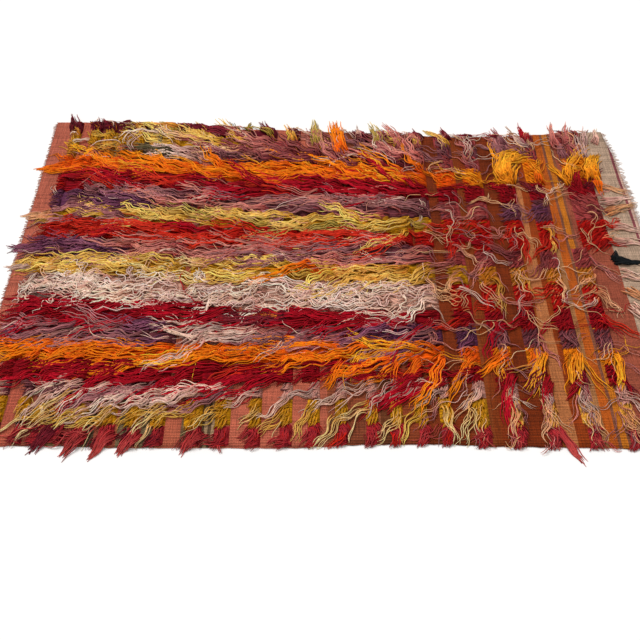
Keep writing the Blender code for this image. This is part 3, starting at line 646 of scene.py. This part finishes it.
def knots(strands, band, row, y_near, y_far, dense, rng):
    """The short yarns of a tuft, in rows that overlap and in clumps whose tips draw together."""
    run = run_at(band, row.root)
    width = row.width * (1.0 if dense else band.fill)
    most = 1.25 if abs(y_near + y_far) > 2 * EDGE_BAND_Y else 0.7
    for step in THIN_KNOT_STEPS[:1] if dense else THIN_KNOT_STEPS:
        count = max(4, round((y_far - y_near) / (KNOT_PITCH if dense else THIN_KNOT_PITCH)))
        y = y_near + (y_far - y_near) * (np.arange(count) + rng.uniform(0.3, 0.7, size=count)) / count
        clumps = max(1, round(count / band.clump))
        clump = y_near + (y_far - y_near) * (np.arange(count) * clumps // count + 0.5) / clumps
        heading, _ = lay_at(np.full(count, row.root), y)
        lean = np.clip((np.mod(heading, 2 * math.pi) - math.pi) * 0.5 * (1 + most), -most, most)
        spare = 0.010 if band.clump < STUBBY_CLUMP else 0.020
        longest = 0.55 * width + 0.022 if dense else 0.42 * width + spare
        length = rng.uniform(0.75, 1.05, size=count) * longest
        mixed = rng.random(size=(count, 1)) < 0.4 * run.share
        knot, tip = wool_colour(run.wool, rng, count, 0.17)
        other, _ = wool_colour(run.mixed, rng, count, 0.17)
        knot = np.where(mixed, other, knot)
        strands.add(
            knot, 0.75 * knot + 0.25 * tip,
            x=row.root - (step + rng.uniform(0.0, 0.07, size=count)) * width, y=y,
            heading=math.pi + lean + 0.75 * (y - clump) / length + 0.07 * rng.normal(size=count),
            bend=0.3 * lean + 0.15 * rng.normal(size=count), length=length,
            radius=rng.uniform(0.0017, 0.0023, size=count) * (1.0 if dense else 0.76),
            lift=rng.uniform(0.0006, 0.0016, size=count), layer=KNOT_LAYER * (1 - step),
            wave_turn=rng.uniform(0.12, 0.30, size=count), wave_length=KNOT_WAVE_LENGTH,
            phase=60 * y + 0.5 * rng.normal(size=count), stray=0.0, left_tip=band.left_tip,
        )


def knot_tuft(strands, band, row, y_near, y_far, dense, rng):
    """One tuft of one band: a few locks that wave together with those beside them."""
    run = run_at(band, row.root)
    height = y_far - y_near
    first = row.root < LEFT_STRIP
    locks = DENSE_LOCKS if dense or first else THIN_LOCKS
    for place in range(locks):
        wool = run.mixed if rng.random() < run.share else run.wool
        x = row.root - row.width * rng.uniform(0.05, 0.55)
        y = y_near + height * (place + rng.uniform(0.25, 0.75)) / locks
        heading, unruly = lay_at(np.array([x]), np.array([y]))
        length = rng.uniform(0.17, 0.25) if dense else rng.uniform(0.080, 0.130 if first else 0.150)
        if not dense and band.clump > STUBBY_CLUMP:
            length *= 0.55
        kept = not first and rng.random() > band.over_left
        lock(
            strands, rng, wool, x, y, heading[0] + unruly[0] * rng.normal(), length,
            count=7 if dense else 8, width=min(0.036, 0.9 * height / locks) if dense else 0.56 * height,
            draw=0.35 if dense or first else 0.80, bend=(0.26 if dense else 0.40) * rng.normal(),
            uneven=0.14 if dense else 0.22, thick=0.0025 if dense else 0.0013 if first else 0.0016,
            lift=rng.uniform(0.001, 0.004),
            layer=rng.uniform(0.0, 0.0050 if dense else 0.002),
            wave=band.curl * rng.uniform(0.38, 0.66), wave_length=WAVE_LENGTH * rng.uniform(0.9, 1.1),
            phase=-2 * math.pi * x / WAVE_LENGTH + 40 * y, right_of=row.root - 0.001,
            left_tip=LEFT_STRIP + rng.uniform(-0.01, 0.05) if kept else band.left_tip,
        )


# Odd long yarns, often in pairs, that cross the others: more of them, and more unruly, over the bare
# stripes, and more and curlier in a band whose own yarn curls most
STRAY_FROM = 0.30
STRAY_HEADING = 322
STRAY_UNRULY = 50
OWN_WOOL = 0.3
STRAYS_LEFT = 0.5
STRAYS_RIGHT = 2.2
CURLIEST = 1.4
CURLS_LEFT = 3.6
ODD_WOOLS = ("rose", "peach", "mauve", "peach")


def stray_yarns(strands, band, row, y_near, y_far, rng):
    right = row.root > STRAY_FROM
    curly = band.curl > CURLIEST and not right
    usual = STRAYS_RIGHT if right else CURLS_LEFT if curly else STRAYS_LEFT
    for _ in range(int(usual + rng.random())):
        x = row.root - row.width * rng.uniform(0.1, 0.9)
        y = rng.uniform(y_near, y_far)
        heading, unruly = lay_at(np.array([x]), np.array([y]))
        heading, unruly = heading[0], unruly[0]
        if right and abs(y) < BARE_STRIPES_Y:
            heading, unruly = math.radians(STRAY_HEADING), math.radians(STRAY_UNRULY)
        count = int(rng.integers(1, 4))
        odd = right and rng.random() >= OWN_WOOL
        wool = ODD_WOOLS[int(rng.integers(len(ODD_WOOLS)))] if odd else band.stray
        lock(
            strands, rng, wool, x, y, heading + 1.2 * unruly * rng.normal(),
            rng.uniform(0.10, 0.19) * (0.75 if y < -BARE_STRIPES_Y or curly else 0.85 if right else 1.0),
            count=count, width=0.005 * count, draw=0.3, bend=(1.6 if curly else 1.0) * rng.normal(),
            thick=0.0012 if right else 0.0020 if curly else 0.0017, lift=rng.uniform(0.002, 0.005),
            layer=rng.uniform(0.002, 0.004) + (0.0025 if curly else 0.0),
            wave=rng.uniform(0.20, 0.50) * (1.6 if right else 3.6 if curly else 1.0),
            wave_length=rng.uniform(0.055, 0.105) * (0.75 if right or curly else 1.0),
            phase=rng.uniform(0, 2 * math.pi), left_tip=band.left_tip, faded=0.5,
        )


PLUME_LIFT = 0.009


def single_tuft(strands, tuft, rng):
    """A tuft of its own, whose yarns leave the cloth side by side and draw together."""
    turn = math.radians(tuft.bend)
    plume = tuft.lift >= PLUME_LIFT
    half = tuft.strands // 2
    for count, low in ((half, 0.0), (tuft.strands - half, 0.5)):
        lock(
            strands, rng, tuft.wool, tuft.x, tuft.y, math.radians(tuft.degrees) + 0.06 * rng.normal(),
            tuft.length * (1 - 0.2 * low), count=count, width=tuft.width, draw=0.35 if plume else 0.85,
            bend=turn * rng.uniform(0.85, 1.1), unruly=0.05 if plume else 0.03 + 0.07 * abs(turn),
            uneven=0.12 if plume else 0.20, thick=0.0025 if plume else 0.0020,
            lift=tuft.lift * (1 - 0.5 * low), layer=0.003 * low, wave=0.16 + 0.16 * abs(turn),
            wave_length=0.055, phase=rng.uniform(0, 2 * math.pi), stray=1.0,
        )


def mat_mesh(name, number, rng):
    """The mat of one band: a grid laid between its two lines, raised, cut to the knots and closed below."""
    band = BANDS[number]
    rows = rows_of(number)
    start = rows[0].root - rows[0].width
    end = rows[-1].root
    cells = round((end - start) / MAT_CELL)
    bm = bmesh.new()
    bmesh.ops.create_grid(bm, x_segments=cells, y_segments=MAT_ROWS_OVER, size=0.5)
    flat = np.array([vert.co for vert in bm.verts])
    x = start + (flat[:, 0] + 0.5) * (end - start)
    over = flat[:, 1] + 0.5
    lines = lines_at(x)
    ragged = 0.0022 * np.sin(410 * x + number) + 0.0016 * np.sin(930 * x + 3 * number)
    near = lines[number] + MAT_GAP + ragged * (over < 0.5)
    far = lines[number + 1] - MAT_GAP + ragged * (over > 0.5)
    y = near + over * (far - near)
    ridge = mat_height(x, number)
    side = np.clip(np.minimum(over, 1 - over) / MAT_ROUNDED, 0, 1) ** 0.5
    lumps = 1 + 0.16 * np.sin(150 * y + 2.1 * number) + 0.10 * rng.normal(size=len(x))
    z = PILE_BASE + np.maximum(ridge * side * lumps, 0.0)
    paint = np.zeros((len(x), 3))
    roots = np.array([row.root for row in rows])
    # Each block takes its band's knot colour, darkened a little (0.95) as painted shade under the loose yarn,
    # with its tone varied at random
    shades = 0.95 * (1 + 0.12 * rng.normal(size=len(roots) + 1))
    for place, px in enumerate(x):
        block = int(np.searchsorted(roots, px - 1e-6))
        paint[place] = shades[block] * to_linear(WOOLS[run_at(band, px).wool].knot)
    for vert, vx, vy, vz in zip(bm.verts, x, y, z):
        vert.co = Vector((vx, vy, vz))
    bare = [face for face in bm.faces if max(v.co.z for v in face.verts) < PILE_BASE + 0.0002]
    layer = bm.verts.layers.float_color.new("wool")
    for vert, colour in zip(bm.verts, paint):
        vert[layer] = (*colour, 1.0)
    bmesh.ops.delete(bm, geom=bare, context="FACES")
    rim = [edge for edge in bm.edges if edge.is_boundary]
    skirt = bmesh.ops.extrude_edge_only(bm, edges=rim)
    for vert in (item for item in skirt["geom"] if isinstance(item, bmesh.types.BMVert)):
        vert.co.z = CLOTH_THICKNESS + 0.0001
    bmesh.ops.recalc_face_normals(bm, faces=bm.faces)
    for face in bm.faces:
        face.smooth = True
    along = bm.loops.layers.uv.new("along")
    for loop in (loop for face in bm.faces for loop in face.loops):
        loop[along].uv = (loop.vert.co.y + 0.0012 * math.sin(70 * loop.vert.co.x), 0.0)
    mesh = bpy.data.meshes.new(name)
    bm.to_mesh(mesh)
    bm.free()
    return mesh


class Graph:
    """A new material's nodes, and one way to add any node."""

    def __init__(self, name):
        self.material = bpy.data.materials.new(name)
        self.material.use_nodes = True
        self.nodes = self.material.node_tree.nodes
        self.links = self.material.node_tree.links
        self.surface = self.nodes["Principled BSDF"]

    def add(self, kind, settings=None, output=0, **sockets):
        node = self.nodes.new("ShaderNode" + kind)
        for setting, value in (settings or {}).items():
            if setting == "stops":
                fill_ramp(node.color_ramp, value)
            else:
                setattr(node, setting, value)
        for socket, value in sockets.items():
            self.feed(node.inputs[socket.replace("_", " ")], value)
        return Value(self, node.outputs[output])

    def math(self, operation, *values):
        node = self.nodes.new("ShaderNodeMath")
        node.operation = operation
        for place, value in enumerate(values):
            self.feed(node.inputs[place], value)
        return Value(self, node.outputs[0])

    def mix(self, factor, first, second, blend="MIX"):
        node = self.nodes.new("ShaderNodeMix")
        node.data_type = "RGBA"
        node.blend_type = blend
        self.feed(node.inputs[0], factor)
        self.feed(node.inputs[6], first)
        self.feed(node.inputs[7], second)
        return Value(self, node.outputs[2])

    def parts(self, vector):
        """A vector's X and Y."""
        x = self.add("SeparateXYZ", Vector=vector)
        return x, Value(self, x.socket.node.outputs[1])

    def noise(self, at, scale, detail, roughness, dimensions="3D"):
        return self.add("TexNoise", {"noise_dimensions": dimensions}, Vector=at, Scale=scale, Detail=detail,
                        Roughness=roughness)

    def streaks(self, at, along, over, detail, roughness):
        """Flat noise with so many spots to the metre along X and Y."""
        stretched = self.add("Mapping", Vector=at, Scale=(along, over, 1.0))
        return self.noise(stretched, 1.0, detail, roughness, "2D")

    def between(self, value, low, high, darkest, lightest):
        return self.add("MapRange", Value=value, From_Min=low, From_Max=high, To_Min=darkest, To_Max=lightest)

    def shaded(self, colour, light):
        """A colour made darker or lighter."""
        grey = self.add("CombineColor", Red=light, Green=light, Blue=light)
        return self.mix(1.0, colour, grey, "MULTIPLY")

    def bump(self, height, distance, strength=1.0):
        return self.add("Bump", Strength=strength, Distance=distance, Height=height)

    def feed(self, socket, value):
        if isinstance(value, Value):
            self.links.new(value.socket, socket)
        elif isinstance(value, (tuple, list, np.ndarray)) and len(value) == 3 and socket.type == "RGBA":
            socket.default_value = (*value, 1.0)
        else:
            socket.default_value = value

    def finish(self, **sockets):
        for socket, value in sockets.items():
            self.feed(self.surface.inputs[socket.replace("_", " ")], value)
        return self.material


class Value:
    """A socket that adds Math nodes when it is used in an expression."""

    def __init__(self, graph, socket):
        self.graph = graph
        self.socket = socket

    def __add__(self, other):
        return self.graph.math("ADD", self, other)

    def __mul__(self, other):
        return self.graph.math("MULTIPLY", self, other)

    def __sub__(self, other):
        return self.graph.math("SUBTRACT", self, other)

    def __rsub__(self, other):
        return self.graph.math("SUBTRACT", other, self)

    def __truediv__(self, other):
        return self.graph.math("DIVIDE", self, other)

    def __gt__(self, other):
        return self.graph.math("GREATER_THAN", self, other)

    __radd__ = __add__
    __rmul__ = __mul__


def fill_ramp(ramp, stops):
    ramp.interpolation = stops.get("kind", "LINEAR")
    places = stops["places"]
    while len(ramp.elements) < len(places):
        ramp.elements.new(0.5)
    for element, (position, colour) in zip(ramp.elements, places):
        element.position = position
        element.color = (*colour, 1.0)


PLY_TWIST = 2600.0


def wool_material():
    """Spun wool in the colour that each strand carries, with the twist of its plies raised."""
    g = Graph("spun_wool")
    colour = g.add("Attribute", {"attribute_name": "wool"})
    at = g.add("TexCoord", output=3)
    gone, around = g.parts(g.add("UVMap", {"uv_map": "along"}))
    twist = g.math("SINE", gone * PLY_TWIST + around * (2 * math.pi))
    fuzz = g.noise(at, 900.0, 2.0, 0.6)
    patchy = g.noise(at, 70.0, 2.0, 0.5)
    light = g.between(patchy + fuzz * 0.35, 0.45, 0.9, 0.80, 1.16)
    return g.finish(Base_Color=g.shaded(colour, light), Normal=g.bump(twist * 0.5 + fuzz, 0.0006, 0.55),
                    Roughness=0.88, Specular_IOR_Level=0.12)


def knotted_material():
    """The wool under the loose yarn: fine wavy strands side by side, with painted shade in the gaps between
    them and painted light on the strands.
    """
    g = Graph("knotted_wool")
    colour = g.add("Attribute", {"attribute_name": "wool"})
    at = g.add("TexCoord", output=3)
    x, y = g.parts(at)
    bend = g.streaks(at, 17.0, 9.0, 1.0, 0.5)
    lanes = g.add("CombineXYZ", X=x * 22.0, Y=(y + (bend - 0.5) * 0.030) * 270.0)
    lane = g.noise(lanes, 1.0, 2.0, 0.6, "2D")
    # Painted shade and light: the colour darkens to 0.42 in the gaps between the strands and lightens up to
    # 1.20 on them
    light = g.between(lane, 0.36, 0.66, 0.42, 1.20)
    return g.finish(Base_Color=g.shaded(colour, light), Normal=g.bump(lane, 0.0030),
                    Roughness=0.90, Specular_IOR_Level=0.10)


# A colour ramp takes no more than MOST_STOPS colours, so the stripes are on two of them
STRIPES_SPAN = 2.2
MOST_STOPS = 32
RIB_PITCH = 0.0044
WEFT_PITCH = 0.0026


def cloth_material():
    """Weft-faced wool: stripes across the rug, ribs the long way and the wefts' beads between them, with
    painted shade in the grooves between the ribs and painted light on their crests.
    """
    g = Graph("ground_weave")
    at = g.add("TexCoord", output=3)
    x, y = g.parts(at)
    drift = g.noise(at, 7.0, 3.0, 0.55)
    wander = x + (drift - 0.5) * 0.010
    stripes = None
    for first in range(0, len(STRIPES), MOST_STOPS):
        stops = [(0.0, to_linear(STRIPES[first].colour))]
        for before, stripe in zip(STRIPES[first:], STRIPES[first + 1:first + MOST_STOPS]):
            stops.append((before.until / STRIPES_SPAN + 0.5, to_linear(stripe.colour)))
        ramp = {"stops": {"kind": "CONSTANT", "places": stops}}
        some = g.add("ValToRGB", ramp, Fac=wander / STRIPES_SPAN + 0.5)
        stripes = some if stripes is None else g.mix(wander > STRIPES[first - 1].until, stripes, some)
    pin = g.streaks(at, 520.0, 14.0, 2.0, 0.6)
    speck = g.streaks(at, 330.0, 238.0, 2.0, 0.7)
    rib_shade = g.streaks(at, 7.0, 238.0, 1.0, 0.5)
    worn = g.noise(at, 16.0, 4.0, 0.6)
    light = g.between(pin * 1.1 + speck * 1.0 + rib_shade * 0.7 + worn * 0.6, 1.25, 2.15, 0.40, 1.44)
    over_ribs = g.math("SINE", y * (math.pi / RIB_PITCH))
    ribs = g.math("ABSOLUTE", over_ribs)
    beat = g.math("SINE", x * (2 * math.pi / WEFT_PITCH) + g.math("SIGN", over_ribs) * 1.57)
    # Painted shade: the colour darkens to 0.55 in the grooves between the ribs and lightens a little on their
    # crests
    colour = g.shaded(g.shaded(stripes, light), g.between(ribs, 0.0, 0.8, 0.55, 1.06))
    return g.finish(Base_Color=colour, Normal=g.bump(ribs + beat * 0.3 + speck * 0.6, 0.0014),
                    Roughness=0.94, Specular_IOR_Level=0.18)


def floor_material():
    g = Graph("pale_floor")
    return g.finish(Base_Color=(0.86, 0.86, 0.865), Roughness=0.7, Specular_IOR_Level=0.1)


def new_object(name, data):
    thing = bpy.data.objects.new(name, data)
    bpy.context.scene.collection.objects.link(thing)
    return thing


def new_piece(name, mesh, node, slot, *materials):
    """A piece in place of a node, which it hides, with the materials given."""
    for material in materials:
        mesh.materials.append(material)
    piece = new_object(name, mesh)
    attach(piece, "root")
    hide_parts(node)
    return piece


def joined(name, meshes):
    """One mesh of several, with their colours and UV kept."""
    parts = [new_object(mesh.name, mesh) for mesh in meshes]
    chosen = dict(active_object=parts[0], selected_editable_objects=parts, selected_objects=parts)
    with bpy.context.temp_override(**chosen):
        bpy.ops.object.join()
    mesh = parts[0].data
    bpy.data.objects.remove(parts[0])
    mesh.name = name
    return mesh


CLOTH_CELLS_LONG = 120
CLOTH_CELLS_WIDE = 60
CLOTH_UNDERSIDE = 0.0006


def make_cloth(material):
    """The ground cloth: one thin sheet to the part's outline, its edges a little uneven."""
    bm = bmesh.new()
    bmesh.ops.create_grid(bm, x_segments=CLOTH_CELLS_LONG, y_segments=CLOTH_CELLS_WIDE, size=0.5)
    flat = np.array([vert.co for vert in bm.verts])
    along, over = flat[:, 0] + 0.5, flat[:, 1] + 0.5
    straight = LEFT_END + along * (RIGHT_END[1].edge - LEFT_END)
    near, far = eased(NEAR_SELVEDGE, straight), eased(FAR_SELVEDGE, straight)
    near = near + 0.0010 * np.sin(90 * straight) + 0.0006 * np.sin(233 * straight)
    far = far - 0.0010 * np.sin(84 * straight + 1) - 0.0006 * np.sin(251 * straight)
    y = near + over * (far - near)
    left, right = left_end(y), right_end(y)
    x = left + along * (right - left)
    for vert, vx, vy in zip(bm.verts, x, y):
        vert.co = Vector((vx, vy, CLOTH_UNDERSIDE))
    for face in bm.faces:
        face.smooth = True
    mesh = bpy.data.meshes.new("ground_cloth_weave")
    bm.to_mesh(mesh)
    bm.free()
    piece = new_piece("ground_cloth_weave", mesh, "ground_cloth", "ground_wool", material)
    thick = piece.modifiers.new("Thickness", "SOLIDIFY")
    thick.thickness = CLOTH_THICKNESS - CLOTH_UNDERSIDE
    thick.offset = 1.0
    return piece


def make_band(number, material, under):
    """The mat, the knots and the loose yarn of one band, as one piece in place of its solid."""
    band = BANDS[number]
    rng = np.random.default_rng(400 + number)
    strands, short = Strands(), Strands()
    for row in rows_of(number):
        dense = is_dense(band, row)
        lines = lines_at(np.array([row.root - 0.4 * row.width]))
        y_near, y_far = lines[number][0], lines[number + 1][0]
        knots(short, band, row, y_near, y_far, dense, rng)
        knot_tuft(strands, band, row, y_near, y_far, dense, rng)
        stray_yarns(strands, band, row, y_near, y_far, rng)
    for tuft in TUFTS:
        lines = lines_at(np.array([tuft.x]))[:, 0]
        if lines[number] <= tuft.y < lines[number + 1] or (number == 0 and tuft.y < lines[0]):
            single_tuft(strands, tuft, rng)
    name = band.node + "_wool"
    yarn = tube_mesh(name + "_yarn", *strands.paths(STRAND_POINTS))
    knotted = tube_mesh(name + "_knots", *short.paths(KNOT_POINTS))
    mat = mat_mesh(name + "_mat", number, rng)
    for mesh, finish in ((yarn, material), (knotted, material), (mat, under)):
        mesh.materials.append(finish)
    slot = band.node.split("_")[1] + "_yarn"
    return new_piece(name, joined(name, [yarn, knotted, mat]), band.node, slot)


FRINGE_PITCH = 0.0036
FRINGE_POINTS = 6

# Each fringe: the edge of the cloth it hangs from, which way it points, which row of the selvedges is at its
# corners, the seed of its random draws, its colour in daylight and its longest end
FRINGES = table(
    "Fringe", "node end_x outwards corner seed colour longest",
    ("fringe_left", left_end, -1, 0, 78, (212, 158, 142), 0.014),
    ("fringe_right", right_end, 1, -1, 77, (246, 222, 210), 0.024),
)


def make_fringe(fringe, material):
    """The warps' short loose ends, each a little twisted and uneven."""
    rng = np.random.default_rng(fringe.seed)
    near, far = NEAR_SELVEDGE[fringe.corner].edge, FAR_SELVEDGE[fringe.corner].edge
    y = np.arange(near + 0.002, far - 0.002, FRINGE_PITCH)
    y = y + 0.0008 * rng.normal(size=len(y))
    count = len(y)
    longest = fringe.longest
    strands = Strands()
    pale = np.array(to_linear(fringe.colour))
    light = 1 + 0.14 * rng.normal(size=(count, 1))
    strands.add(
        np.clip(0.8 * pale * light, 0.01, 0.9), np.clip(pale * light, 0.01, 0.9),
        x=fringe.end_x(y) + fringe.outwards * 0.0004, y=y,
        heading=(0.0 if fringe.outwards > 0 else math.pi) + 0.30 * rng.normal(size=count),
        bend=0.5 * rng.normal(size=count),
        length=np.clip(0.6 * longest + 0.17 * longest * rng.normal(size=count), 0.005, longest),
        radius=rng.uniform(0.0008, 0.0012, size=count),
        lift=0.0003, layer=0.0, wave_turn=0.25, wave_length=0.012,
        phase=rng.uniform(0, 6.28, size=count), stray=1.0, left_tip=STRAY_LEFT_TIP,
    )
    paths, radius, colour, gone = strands.paths(FRINGE_POINTS)
    paths[:, :, 2] = radius + 0.0012 * np.linspace(1, 0, FRINGE_POINTS)
    name = fringe.node + "_warps"
    new_piece(name, tube_mesh(name, paths, radius, colour, gone), fringe.node, "warp_wool", material)


DARK_TUFTS = table(
    "Tuft", TUFT_COLUMNS,
    (0.858, 0.006, 350, 0, 0.062, 0.036, 60, "dark", 0.004),
    (0.852, 0.008, 60, 0, 0.034, 0.026, 26, "dark", 0.004),
    (0.87, -0.002, 0, 0, 0.075, 0.01, 12, "dark", 0.003),
)
DARK_POINTS = 9


def make_dark_lock(material):
    """The odd dark lock: a tight bundle with a thin tail to the right."""
    rng = np.random.default_rng(5)
    strands = Strands()
    for tuft in DARK_TUFTS:
        single_tuft(strands, tuft, rng)
    mesh = tube_mesh("dark_lock_wool", *strands.paths(DARK_POINTS))
    new_piece("dark_lock_wool", mesh, "dark_lock", "dark_yarn", material)


FLOOR_REACH = 6.0


def make_floor():
    bm = bmesh.new()
    bmesh.ops.create_grid(bm, x_segments=1, y_segments=1, size=FLOOR_REACH)
    mesh = bpy.data.meshes.new("floor")
    bm.to_mesh(mesh)
    bm.free()
    mesh.materials.append(floor_material())
    new_object("floor", mesh)


# The camera as the photograph has it: at eye height, before the near selvedge
CAMERA_PLACE = (-0.045, -1.325, 1.6533)
CAMERA_TILT = 34.046
CAMERA_LENS = 39.375
CAMERA_SHIFT = 0.0047


def make_camera():
    data = bpy.data.cameras.new("camera")
    data.sensor_width = 36.0
    data.lens = CAMERA_LENS
    data.shift_x = CAMERA_SHIFT
    camera = new_object("camera", data)
    camera.location = CAMERA_PLACE
    camera.rotation_euler = (math.radians(CAMERA_TILT), 0.0, 0.0)
    bpy.context.scene.camera = camera


SKY_COLOUR = (1.0, 0.955, 0.90, 1.0)
SKY_STRENGTH = 0.56
SUN_STRENGTH = 2.65
SUN_WIDTH = math.radians(30)
SUN_PLACE = (-1.3, 1.5, 2.6)


def make_light():
    """Warm white surroundings, and one broad soft sun from the far left that shines at the rug's middle."""
    world = bpy.data.worlds.new("studio")
    world.use_nodes = True
    sky = world.node_tree.nodes["Background"]
    sky.inputs["Color"].default_value = SKY_COLOUR
    sky.inputs["Strength"].default_value = SKY_STRENGTH
    bpy.context.scene.world = world
    data = bpy.data.lights.new("soft_sun", "SUN")
    data.energy = SUN_STRENGTH
    data.angle = SUN_WIDTH
    lamp = new_object("soft_sun", data)
    lamp.location = SUN_PLACE
    lamp.rotation_euler = (-lamp.location).to_track_quat("-Z", "Y").to_euler()
    view = bpy.context.scene.view_settings
    view.view_transform = "Standard"
    view.look = "None"
    view.exposure = 0.0


def main():
    make_camera()
    make_light()
    make_floor()
    wool = wool_material()
    knotted = knotted_material()
    cloth = make_cloth(cloth_material())
    for fringe in FRINGES:
        make_fringe(fringe, wool)
    for number in range(len(BANDS)):
        make_band(number, wool, knotted)
    make_dark_lock(wool)


main()
